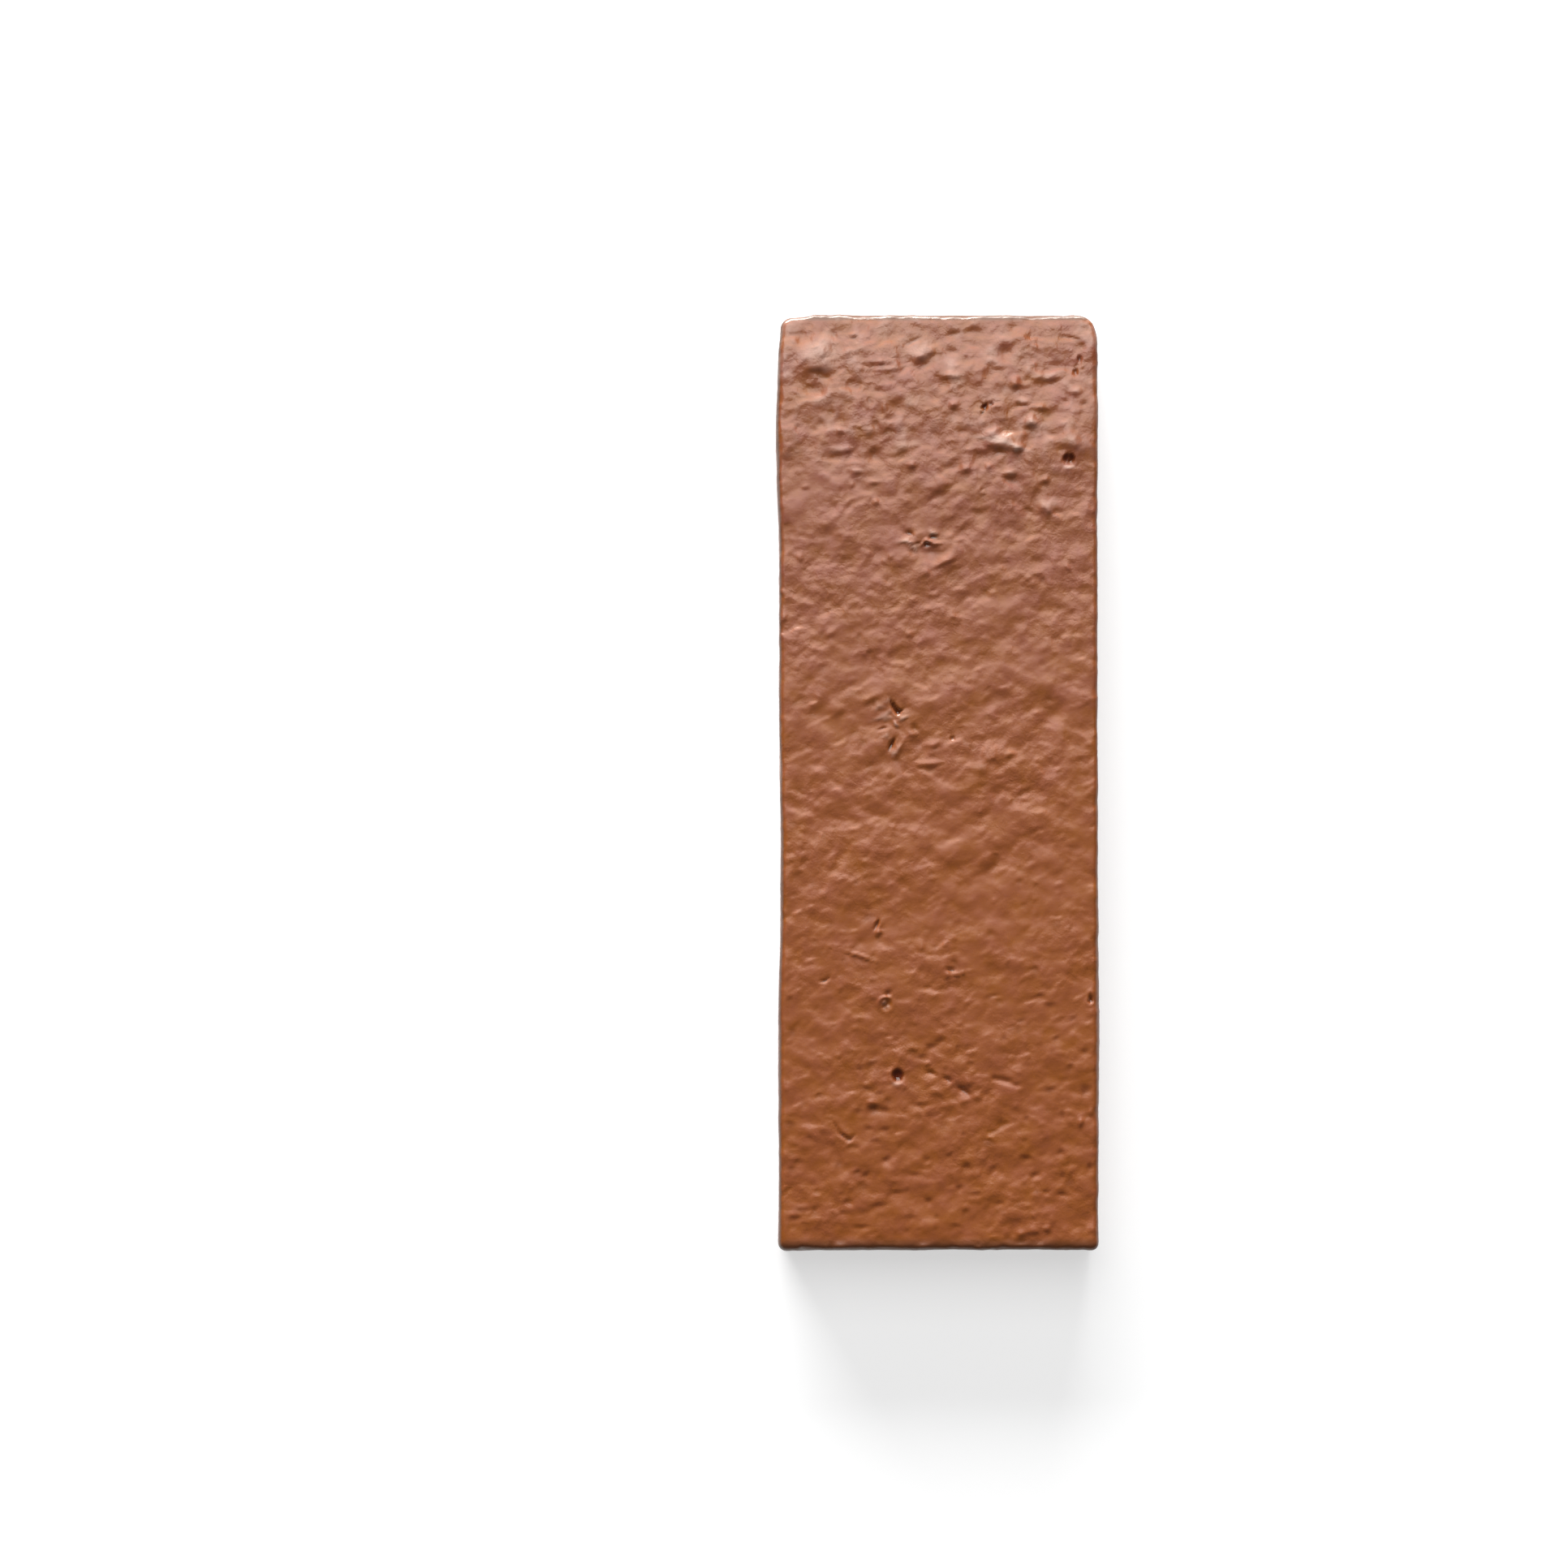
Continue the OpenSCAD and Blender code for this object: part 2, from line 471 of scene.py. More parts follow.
class Skin:
    """The points of the brick in mm, which marks move, and the masks of its glaze, which marks add to."""

    def __init__(self, mesh):
        self.mesh = mesh
        numbers = np.empty(len(mesh.vertices) * 3)
        mesh.vertices.foreach_get("co", numbers)
        self.points = numbers.reshape(-1, 3) / MM
        self.x, self.y, self.z = self.points.T
        self.face = smooth((self.z - THICKNESS + 4.0) / 2.0)
        self.masks = {name: np.zeros(len(self.points)) for name in ("crest", "pool", "hole_shade", "milky")}
        for name in ("crest", "pool"):
            mesh.attributes[name].data.foreach_get("value", self.masks[name])

    def nudge(self, x, y, reach, by_x, by_y):
        """Shifts the outline near a place, over its full height."""
        share = 1.0 - smooth(np.hypot(self.x - x, self.y - y) / reach)
        self.x += share * by_x
        self.y += share * by_y

    def stain(self, name, share):
        self.masks[name] = np.maximum(self.masks[name], share)

    def oval(self, x, y, length, width, angle, uneven=0.0, skew=0.0):
        """How far each point is from the middle of a leaning oval, where 1 is its rim.

        skew draws out its near side, and uneven waves its rim.
        """
        lean = math.radians(angle)
        dx = self.x - x
        dy = self.y - y
        along = (dx * math.cos(lean) + dy * math.sin(lean)) * 2.0 / length
        across = (dy * math.cos(lean) - dx * math.sin(lean)) * 2.0 / width
        across /= np.where(across < 0.0, 1.0 + skew, 1.0 - skew)
        turn = np.arctan2(across, along)
        wave = 1.0 + uneven * np.sin(3.0 * turn + x) + 0.6 * uneven * np.sin(5.0 * turn + y)
        return np.hypot(along, across) * wave

    def press(self, x, y, length, width, angle=0.0, depth=0.4, steep=0.0, lip=0.0, dark=0.0,
              skew=0.0, pool=0.0, uneven=0.1, milky=0.0):
        """A dent, or a bump where depth is negative.

        steep 0 is a soft bowl and 0.8 a hole with upright walls. lip raises a rim round it. dark says how
        much painted shade of a hole it gets, pool how much pooled glaze and painted shade, milky how much
        painted sheen.
        """
        away = self.oval(x, y, length, width, angle, uneven, skew)
        bowl = (1.0 - smooth((away - steep) / (1.2 - steep))) * self.face
        rim = np.exp(-((away - 1.2) / 0.25) ** 2) * self.face
        self.z += lip * rim - depth * bowl
        self.masks["crest"] += 0.4 * lip * rim - 0.4 * depth * bowl
        # The masks: painted shade inside holes, pooled glaze with painted shade, and painted sheen
        self.stain("hole_shade", dark * bowl)
        self.stain("pool", pool * bowl)
        self.stain("milky", milky * bowl)

    def paint(self, x, y, length, width, angle, **how):
        """Adds to the masks in an oval, and leaves the shape as it is."""
        self.press(x, y, length, width, angle, 0.0, **how)

    def split(self, path, width, depth, lip=0.0, dark=0.0):
        """A crack along a path of (x, y) points that narrows to both ends. A negative depth is a ridge."""
        nearest = np.full(len(self.points), np.inf)
        travelled = np.zeros(len(self.points))
        steps = len(path) - 1
        for step in range(steps):
            x0, y0 = path[step]
            run_x = path[step + 1][0] - x0
            run_y = path[step + 1][1] - y0
            t = ((self.x - x0) * run_x + (self.y - y0) * run_y) / (run_x ** 2 + run_y ** 2)
            t = np.clip(t, 0.0, 1.0)
            gap = np.hypot(self.x - x0 - t * run_x, self.y - y0 - t * run_y)
            closer = gap < nearest
            nearest[closer] = gap[closer]
            travelled[closer] = (step + t[closer]) / steps
        narrow = 0.35 + 0.65 * np.sin(math.pi * travelled)
        away = nearest * 2.0 / (width * narrow)
        cut = (1.0 - smooth((away - 0.2) / 1.0)) * self.face
        rim = np.exp(-((away - 1.7) / 0.6) ** 2) * self.face
        self.z += lip * rim - depth * narrow * cut
        # Painted shade inside the crack
        self.stain("hole_shade", dark * cut)

    def finish(self):
        """Puts the points and masks back on the mesh. None stands above the brick's thickness."""
        np.minimum(self.z, THICKNESS, out=self.z)
        self.mesh.vertices.foreach_set("co", (self.points * MM).ravel())
        attributes = self.mesh.attributes
        for name, mask in self.masks.items():
            kept = attributes.get(name) or attributes.new(name, "FLOAT", "POINT")
            kept.data.foreach_set("value", mask)
        self.mesh.update()


def uneven_outline(skin):
    """The far left corner is lower, and the left side bulges and then draws in."""
    skin.nudge(-33.0, 96.0, 11.0, 0.4, -0.55)
    skin.nudge(33.0, 96.0, 6.0, -0.9, -0.8)
    skin.nudge(33.0, 93.5, 5.0, -0.35, -0.2)
    skin.nudge(-32.5, -95.0, 3.5, -0.6, -0.6)
    skin.nudge(32.5, -95.0, 3.5, 0.6, -0.6)
    skin.nudge(-33.0, 70.0, 22.0, -0.5, 0.0)
    skin.nudge(-33.0, -18.0, 30.0, 0.5, 0.0)


def broad_folds(skin):
    """Broad folds across the middle, rising to the right: (x, y, length, width, lean in degrees, depth)."""
    for x, y, length, width, angle, depth in [
        (14.0, -4.0, 30.0, 7.0, 30, 0.15),
        (8.0, 0.0, 26.0, 5.0, 32, -0.15),
        (4.0, -13.0, 26.0, 5.0, 35, -0.12),
        (14.0, -15.0, 22.0, 6.0, 35, 0.20),
        (-20.0, -8.0, 20.0, 6.0, 15, 0.12),
        (22.0, 12.0, 16.0, 6.0, 60, 0.15),
        (-12.0, 28.0, 18.0, 5.0, 20, -0.12),
        (12.0, 30.0, 20.0, 7.0, 10, 0.15),
    ]:
        skin.press(x, y, length, width, angle, depth)


def soft_hollows(skin):
    """Soft hollows, steeper on their far side: (x, y, length, width, lean in degrees, depth)."""
    for x, y, length, width, angle, depth in [
        (-27.5, 91.0, 5.0, 1.5, 10, 0.30),
        (-21.0, 91.0, 3.0, 1.2, 5, 0.30),
        (-17.0, 90.2, 1.6, 0.8, 0, 0.25),
        (-21.2, 88.7, 2.0, 1.0, 20, 0.25),
        (3.0, 91.0, 3.5, 1.1, 5, 0.35),
        (7.2, 91.7, 4.5, 1.2, 5, 0.40),
        (13.5, 87.7, 3.5, 2.0, 25, 0.35),
        (3.5, 87.5, 3.0, 1.0, -10, 0.25),
        (5.6, 86.0, 2.0, 1.0, 0, 0.30),
        (11.5, 84.0, 4.5, 1.6, -5, 0.40),
        (-2.5, 85.8, 5.5, 1.4, 25, 0.35),
        (-17.5, 81.2, 5.0, 1.7, -5, 0.45),
        (-24.8, 80.2, 6.0, 1.4, 0, 0.35),
        (-12.3, 79.6, 2.0, 1.3, 45, 0.35),
        (1.0, 81.5, 2.5, 1.2, -10, 0.30),
        (15.5, 79.8, 7.0, 1.4, 0, 0.35),
        (-8.5, 76.6, 3.0, 1.2, 0, 0.25),
        (-12.7, 73.0, 1.7, 1.6, 30, 0.35),
        (-23.7, 73.0, 1.5, 1.4, 30, 0.35),
        (-13.0, 66.8, 4.0, 1.9, 25, 0.55),
        (-9.0, 70.0, 6.0, 1.9, 42, 0.40),
        (-2.0, 73.6, 3.0, 1.3, 0, 0.25),
        (4.5, 71.3, 3.2, 1.2, 25, 0.30),
        (13.8, 71.3, 4.0, 1.0, -5, 0.25),
        (19.3, 70.6, 4.0, 2.2, 0, 0.40),
        (9.5, 67.0, 8.5, 1.6, 6, 0.55),
        (3.0, 65.0, 5.0, 1.8, 38, 0.40),
        (-1.0, 62.6, 6.0, 1.4, 5, 0.35),
        (15.8, 65.4, 4.0, 2.6, 0, 0.35),
        (-16.0, 62.0, 4.0, 1.9, 20, 0.35),
        (4.5, 62.0, 3.0, 1.5, 0, 0.25),
        (9.8, 60.3, 1.6, 1.2, 0, 0.30),
        (15.5, 61.5, 4.5, 1.7, 20, 0.40),
        (20.3, 59.4, 5.0, 1.6, 52, 0.35),
        (-17.5, 56.5, 3.0, 1.6, 30, 0.30),
        (8.5, 55.0, 6.0, 1.5, -5, 0.35),
        (18.0, 55.0, 3.0, 1.4, 0, 0.30),
        (26.5, 62.3, 5.0, 1.6, 0, 0.25),
        (-22.5, 51.5, 5.0, 2.0, 20, 0.25),
        (-20.5, 46.0, 5.0, 1.8, 10, 0.25),
        (-12.6, 47.3, 3.4, 1.8, 45, 0.35),
        (-1.5, 46.6, 4.2, 1.8, -5, 0.35),
        (3.2, 42.8, 4.6, 2.2, 22, 0.40),
        (4.4, 48.6, 2.0, 1.8, 60, 0.25),
        (14.0, 52.5, 8.0, 1.8, -5, 0.30),
        (12.0, 18.0, 6.0, 2.0, 5, 0.25),
        (-12.0, 5.2, 8.0, 1.8, 5, 0.30),
        (-4.0, 8.4, 4.0, 1.1, 5, 0.30),
        (-4.9, 11.3, 2.0, 1.0, 10, 0.30),
        (-6.3, 15.9, 4.5, 1.8, 25, 0.45),
        (11.0, -37.0, 5.0, 2.0, 0, 0.20),
        (-13.0, -57.0, 5.0, 1.6, 22, 0.25),
        (-12.0, -65.0, 4.5, 1.6, 0, 0.30),
        (4.0, -61.0, 6.0, 2.0, -30, 0.25),
        (2.0, -66.0, 9.0, 2.4, 0, 0.25),
        (-27.0, -93.4, 4.0, 1.2, 0, 0.35),
        (-10.0, -93.6, 5.0, 1.0, 0, 0.35),
        (3.0, -93.5, 3.0, 1.2, 0, 0.35),
        (13.0, -93.4, 3.0, 1.0, 5, 0.35),
        (26.0, -93.5, 4.0, 1.2, 0, 0.35),
    ]:
        # A row gives the steep far side. The bowl runs out from it toward the near end, wide and shallow.
        # The bowl gets a darker mix of pooled glaze and painted shade
        skin.press(x, y - 0.3 * width, length * 1.1, width * 2.1, angle, depth * 0.45,
                   skew=0.2, pool=depth * 0.6)


def soft_knobs(skin):
    """Soft knobs, steeper on their near side: (x, y, length, width, lean in degrees, height).

    The longer ones of the far third carry a painted sheen.
    """
    for x, y, length, width, angle, height in [
        (-24.0, 87.3, 9.0, 5.6, 5, 0.50),
        (-24.5, 84.3, 4.0, 1.4, 0, 0.20),
        (-3.6, 87.4, 6.5, 3.0, 22, 0.38),
        (-17.3, 90.8, 1.4, 0.8, 0, 0.20),
        (-20.2, 90.7, 1.0, 0.9, 0, 0.20),
        (13.0, 90.5, 4.5, 2.8, 0, 0.14),
        (-12.5, 85.3, 9.0, 0.8, 0, 0.15),
        (-10.0, 83.9, 8.0, 0.8, 5, 0.18),
        (2.5, 82.5, 5.0, 0.8, -5, 0.20),
        (15.3, 81.3, 2.2, 2.0, 0, 0.35),
        (22.0, 82.4, 6.5, 1.4, 5, 0.30),
        (17.0, 77.4, 3.2, 1.2, -10, 0.30),
        (20.6, 76.2, 2.6, 1.0, 0, 0.28),
        (27.6, 79.5, 3.2, 1.2, 5, 0.25),
        (2.9, 76.7, 2.0, 0.9, 0, 0.20),
        (-14.5, 76.6, 1.0, 1.8, 0, 0.20),
        (-11.0, 76.4, 1.0, 2.0, 0, 0.20),
        (-20.0, 71.4, 1.6, 1.1, 0, 0.20),
        (-20.0, 67.5, 5.0, 1.3, 5, 0.25),
        (18.6, 73.2, 3.2, 1.7, 0, 0.40),
        (10.5, 71.0, 5.0, 1.4, 25, 0.30),
        (12.8, 69.4, 6.5, 2.6, -12, 0.50),
        (15.9, 68.1, 2.4, 1.4, -10, 0.35),
        (26.6, 69.4, 4.0, 2.2, 0, 0.35),
        (-7.0, 68.4, 5.5, 2.4, 15, 0.28),
        (-5.5, 64.4, 2.2, 1.0, 0, 0.28),
        (-16.6, 63.3, 4.0, 0.9, -10, 0.22),
        (14.5, 62.9, 3.2, 1.0, 0, 0.30),
        (5.4, 63.9, 2.6, 1.2, 0, 0.30),
        (10.0, 64.3, 2.0, 1.0, 0, 0.25),
        (-13.0, 61.1, 2.6, 0.8, 0, 0.20),
        (-17.5, 60.5, 1.1, 1.0, 0, 0.22),
        (-12.7, 57.1, 1.2, 1.0, 0, 0.22),
        (-27.0, 60.1, 1.8, 0.8, 0, 0.18),
        (21.5, 61.6, 1.8, 1.0, 20, 0.25),
        (22.0, 56.4, 4.5, 2.2, 5, 0.35),
        (1.5, 45.4, 6.0, 1.3, 27, 0.35),
        (-9.8, 46.0, 1.6, 1.0, 0, 0.22),
        (19.0, 42.5, 4.5, 1.2, 25, 0.20),
        (-22.0, 30.5, 3.5, 1.0, 32, 0.20),
        (-20.5, 15.5, 3.5, 2.0, 10, 0.20),
        (11.5, 6.5, 6.5, 2.5, 10, 0.30),
        (8.5, 3.5, 4.0, 2.0, 10, 0.25),
        (-2.2, 4.3, 6.5, 1.0, 5, 0.28),
        (-1.0, 8.0, 3.5, 0.8, 20, 0.18),
        (-5.0, 10.3, 1.9, 0.8, 10, 0.25),
        (-13.6, 17.6, 5.0, 1.0, 25, 0.25),
        (-3.5, -32.0, 2.0, 2.0, 0, 0.20),
        (-26.0, -70.0, 4.0, 1.5, -25, 0.17),
        (-13.5, -64.0, 2.5, 1.0, 0, 0.20),
        (-0.5, -61.5, 3.0, 1.5, -15, 0.20),
        (5.0, -63.5, 2.5, 1.2, 10, 0.20),
        (8.0, -62.5, 2.0, 1.5, 0, 0.17),
        (6.0, -60.0, 2.0, 1.0, 20, 0.15),
        (30.7, -65.8, 1.2, 1.4, 0, 0.25),
        (28.5, -67.8, 1.2, 1.2, 0, 0.25),
        (19.0, -89.6, 6.5, 1.6, 3, 0.17),
        (16.5, -90.4, 1.6, 1.0, 0, 0.22),
        (21.8, -89.3, 1.8, 1.0, 10, 0.22),
        (-20.0, -93.0, 3.0, 1.2, 0, 0.20),
        (-3.0, -93.0, 2.5, 1.0, 5, 0.20),
        (8.0, -93.4, 2.0, 1.0, 0, 0.20),
        (20.5, -93.0, 3.0, 1.2, 0, 0.20),
    ]:
        # A row gives the top of the knob, which itself is wider and lies a little nearer
        # Painted sheen on the tops of the longer knobs of the far third
        sheen_on_knob = height * 0.75 if y > 52.0 and length > 3.0 else 0.0
        skin.press(x, y - 0.3 * width, length * 1.1, width * 1.6, angle, -height, skew=-0.2)
        skin.paint(x, y, length * 1.1, width * 1.3, angle, milky=sheen_on_knob, uneven=0.2)


def milky_patches(skin):
    """Painted sheen on the whitest patches of the far third, and a broad knoll to the left of them."""
    skin.press(12.3, 69.3, 8.5, 2.4, -15, -0.05, milky=0.6, uneven=0.3)
    skin.press(15.6, 68.0, 3.2, 1.8, -20, -0.1, milky=0.55, uneven=0.2)
    skin.press(18.6, 73.1, 3.0, 2.0, 0, -0.1, milky=0.45, uneven=0.2)
    skin.press(0.0, 60.0, 7.0, 4.0, 15, -0.25, uneven=0.2)


def short_dimples(skin):
    """Short dimples, thickest toward the near end: (x, y, length, width, lean in degrees, depth)."""
    for x, y, length, width, angle, depth in [
        (23.6, -51.4, 2.2, 1.0, 35, 0.24),
        (13.2, -51.4, 1.6, 0.9, 10, 0.18),
        (0.1, -51.8, 2.4, 0.9, 15, 0.20),
        (-1.5, -53.0, 2.8, 1.0, 5, 0.24),
        (-3.6, -55.1, 2.8, 0.9, 5, 0.24),
        (3.9, -53.3, 1.2, 1.4, 0, 0.20),
        (-13.5, -56.5, 3.4, 1.3, 20, 0.24),
        (-15.8, -57.4, 1.6, 1.2, 10, 0.22),
        (-14.5, -61.5, 3.8, 1.1, -5, 0.24),
        (-12.2, -62.5, 2.8, 0.8, 0, 0.20),
        (-16.1, -66.0, 2.2, 0.9, 10, 0.22),
        (-13.2, -65.5, 3.6, 1.1, 10, 0.30),
        (-10.9, -65.8, 2.8, 0.9, 0, 0.24),
        (-3.8, -64.7, 4.2, 0.9, 0, 0.22),
        (11.2, -59.3, 2.2, 1.1, 0, 0.22),
        (13.4, -59.8, 4.0, 1.0, -5, 0.20),
        (15.4, -60.6, 2.2, 0.9, -10, 0.20),
        (22.3, -61.8, 3.2, 1.5, 10, 0.26),
        (29.4, -61.8, 2.8, 2.4, 0, 0.26),
        (24.9, -66.8, 1.2, 2.0, 0, 0.20),
        (17.7, -67.5, 1.2, 0.9, 0, 0.22),
        (12.5, -68.1, 1.4, 1.6, 0, 0.18),
        (-14.2, -69.5, 2.2, 1.0, 0, 0.24),
        (-10.9, -69.7, 2.6, 1.0, -5, 0.24),
        (5.0, -70.7, 1.0, 1.0, 0, 0.22),
        (-12.9, -72.0, 2.8, 0.9, 5, 0.20),
        (-16.8, -73.3, 2.2, 0.9, 10, 0.18),
        (24.6, -74.3, 1.8, 0.9, 0, 0.26),
        (17.4, -75.4, 2.8, 1.1, -5, 0.30),
        (-10.6, -75.8, 2.6, 1.3, 20, 0.30),
        (-2.5, -75.6, 1.9, 1.0, -20, 0.20),
        (2.1, -74.9, 2.2, 0.9, 10, 0.18),
        (5.7, -77.2, 2.2, 1.3, -15, 0.26),
        (10.9, -77.5, 2.2, 1.0, 30, 0.22),
        (19.4, -78.8, 2.6, 0.9, 20, 0.22),
        (24.9, -78.8, 1.0, 1.7, 0, 0.20),
        (30.4, -77.2, 1.3, 1.7, 0, 0.28),
        (-20.0, -76.9, 3.0, 1.8, 0, 0.18),
        (-14.7, -78.8, 2.2, 1.1, 45, 0.26),
        (-4.7, -78.8, 2.2, 1.0, 0, 0.20),
        (4.1, -81.4, 1.8, 0.9, 10, 0.26),
        (7.3, -82.7, 3.4, 0.9, 0, 0.24),
        (12.2, -84.5, 2.6, 0.9, 5, 0.24),
        (21.6, -82.2, 2.2, 0.7, 0, 0.22),
        (24.9, -82.7, 2.8, 0.8, -5, 0.30),
        (-2.1, -84.0, 1.7, 0.9, 15, 0.24),
        (-8.3, -82.4, 3.4, 0.9, 5, 0.20),
        (-12.2, -85.0, 4.0, 1.2, 5, 0.26),
        (-18.7, -84.4, 2.6, 0.8, 10, 0.22),
        (-19.4, -86.5, 2.8, 0.8, 5, 0.20),
        (-5.7, -87.3, 2.2, 0.9, 0, 0.20),
        (-15.5, -89.3, 4.0, 0.8, 0, 0.22),
        (3.4, -89.1, 2.2, 0.8, -10, 0.18),
        (-0.5, -87.3, 1.2, 1.1, 20, 0.18),
        (-29.0, -87.6, 2.6, 1.0, 0, 0.24),
        (-27.8, -86.0, 4.0, 1.4, 0, 0.20),
        (-29.5, -50.2, 2.2, 2.2, 0, 0.18),
        (20.3, -42.8, 2.4, 1.1, 10, 0.22),
        (22.4, -44.7, 2.6, 1.2, 5, 0.22),
        (10.6, -43.0, 3.4, 1.0, 10, 0.16),
        (27.0, -47.5, 2.4, 1.2, 30, 0.20),
        (16.5, -48.0, 2.6, 1.2, 20, 0.16),
        (29.5, -54.0, 2.0, 1.4, 20, 0.20),
        (26.5, -57.0, 2.0, 1.0, 10, 0.16),
        (6.5, -56.5, 2.0, 0.9, 0, 0.16),
        (3.0, 9.0, 1.4, 1.0, 0, 0.20),
        (21.0, 41.0, 1.4, 1.2, 0, 0.24),
        (-14.0, 26.5, 1.2, 0.9, 0, 0.20),
        (-14.0, 77.0, 1.4, 1.2, 0, 0.24),
        (29.5, 76.5, 1.6, 1.4, 0, 0.24),
        (-28.5, 72.0, 1.2, 1.0, 0, 0.24),
    ]:
        # The bowl is wide and shallow, and its far wall, which lies in shade, gets pooled glaze and painted
        # shade
        skin.press(x, y, length * 1.15, width * 2.0, angle, depth * 0.5, skew=0.35)
        skin.paint(x, y + 0.3, length, width * 1.2, angle, pool=depth * 3.5)


def cracks_and_creases(skin):
    """Creases to the right of the oval pit, thin cracks, and one thin ridge."""
    # The dark creases and cracks get painted shade.
    skin.press(-1.5, -58.3, 3.0, 1.3, -20, 0.35, dark=0.15)
    skin.press(1.8, -59.6, 2.6, 1.2, -35, 0.35, dark=0.15)
    skin.press(5.0, -61.8, 3.6, 1.2, -42, 0.45, dark=0.2)
    skin.press(12.8, -59.6, 4.5, 1.8, -15, 0.18, dark=0.05)
    skin.split([(-21.5, -67.5), (-19.8, -70.6), (-18.0, -71.8), (-16.8, -70.4)],
               width=0.9, depth=0.28, lip=0.05, dark=0.15)
    skin.split([(-24.5, -39.5), (-23.0, -39.8), (-22.0, -38.8)], width=0.6, depth=0.3, lip=0.05, dark=0.2)
    skin.split([(24.5, 90.2), (29.0, 89.6)], width=0.8, depth=0.2, dark=0.1)
    skin.split([(-6.6, 88.4), (-4.8, 89.4), (-3.2, 90.1)], width=0.9, depth=0.2, dark=0.2)
    skin.split([(-19.5, -33.5), (-16.0, -34.5), (-12.0, -36.0)], width=0.7, depth=-0.25)


def torn_spot(skin):
    """The torn spot of the far third: dark slits of painted shade between ragged pale flakes of painted
    sheen.
    """
    skin.press(-6.0, 50.4, 2.4, 1.2, -15, 0.3, dark=0.9, skew=-0.3, uneven=0.2)
    skin.press(-6.5, 49.0, 2.8, 1.4, -10, -0.3, milky=0.35, uneven=0.3)
    skin.press(-5.0, 47.7, 2.8, 1.1, -25, -0.25, milky=0.3, uneven=0.3)
    skin.split([(-3.8, 47.9), (-2.6, 49.1), (-1.0, 48.4), (1.0, 48.5)], width=0.9, depth=-0.35)
    skin.press(-1.3, 50.6, 2.0, 1.0, -5, -0.3, milky=0.4, uneven=0.3)
    skin.press(-1.2, 49.7, 1.9, 1.0, -10, 0.25, dark=0.8, skew=-0.3, uneven=0.2)
    skin.press(-2.4, 48.2, 1.7, 1.4, 0, 0.25, dark=0.9, skew=-0.3, uneven=0.2)
    skin.press(-0.8, 47.0, 5.0, 1.8, 0, 0.12, pool=0.4)


def star_tear(skin):
    """The star-shaped tear left of the middle, and the small nick to the right of it."""
    # Its cracks get painted shade, and its pale flakes painted sheen.
    skin.split([(-9.7, 16.7), (-9.1, 15.6), (-8.3, 14.4), (-7.5, 14.8)],
               width=1.1, depth=0.6, lip=0.05, dark=0.7)
    skin.press(-8.3, 14.4, 1.6, 1.1, -50, 0.35, dark=1.0, skew=-0.4)
    skin.press(-10.9, 13.6, 3.6, 2.2, 15, -0.15, milky=0.25, uneven=0.3)
    skin.press(-12.2, 15.6, 2.6, 1.6, 30, -0.18, milky=0.2, uneven=0.3)
    skin.press(-10.3, 16.8, 1.8, 1.0, 20, -0.12, milky=0.2, uneven=0.3)
    skin.press(-7.2, 13.3, 2.4, 1.0, 25, -0.2, milky=0.3, uneven=0.2)
    skin.press(-8.7, 12.1, 1.8, 0.8, -50, -0.25, milky=0.4)
    skin.press(-11.3, 11.1, 2.6, 0.9, 10, 0.2, dark=0.2)
    skin.press(-10.5, 9.7, 1.8, 1.3, 20, -0.12, milky=0.2, uneven=0.3)
    skin.split([(-8.8, 9.4), (-9.4, 8.2), (-9.7, 7.6), (-10.1, 6.8)], width=1.0, depth=0.5, dark=0.7)
    skin.split([(-9.8, 6.1), (-8.7, 5.9), (-7.9, 7.4), (-6.7, 9.6)], width=0.8, depth=-0.25)
    skin.press(-9.1, 6.3, 1.8, 1.0, -10, -0.1, milky=0.35, uneven=0.3)
    skin.press(-8.2, 7.3, 0.8, 1.6, -25, -0.05, milky=0.25, uneven=0.3)
    skin.press(2.7, 9.2, 1.0, 0.9, 0, 0.4, lip=0.12)


def near_half_marks(skin):
    """The small tear and gritty pit on the left, torn spots, the chip in the right edge and a near crease."""
    # Dark cuts and pits get painted shade, and some bumps painted sheen.
    skin.split([(-12.0, -27.2), (-12.4, -28.2), (-13.0, -29.4)], width=0.8, depth=0.3, lip=0.08, dark=0.3)
    skin.press(-12.2, -29.9, 1.8, 1.3, 40, -0.35)
    skin.press(-10.3, -42.4, 1.7, 1.4, 20, 0.3, dark=0.15, skew=-0.2)
    skin.press(-10.7, -44.4, 2.4, 2.6, 0, 0.25, lip=0.14, dark=0.1, uneven=0.02)
    skin.press(-11.0, -44.0, 1.2, 1.0, 20, -0.3, milky=0.25)
    skin.press(-10.3, -44.9, 1.0, 0.9, -20, -0.25, milky=0.2)
    skin.press(2.4, -37.5, 2.2, 0.9, -15, 0.35, dark=0.2)
    skin.press(1.6, -38.5, 1.5, 0.8, 10, -0.3)
    skin.press(3.5, -38.3, 1.8, 0.8, -10, -0.3)
    skin.press(4.8, -38.0, 1.3, 0.8, 60, -0.25)
    skin.press(30.6, -43.6, 1.2, 2.2, 0, 0.5, lip=0.1, dark=0.7, skew=-0.3)
    skin.press(16.6, -92.2, 3.0, 0.9, 5, 0.2, dark=0.1)


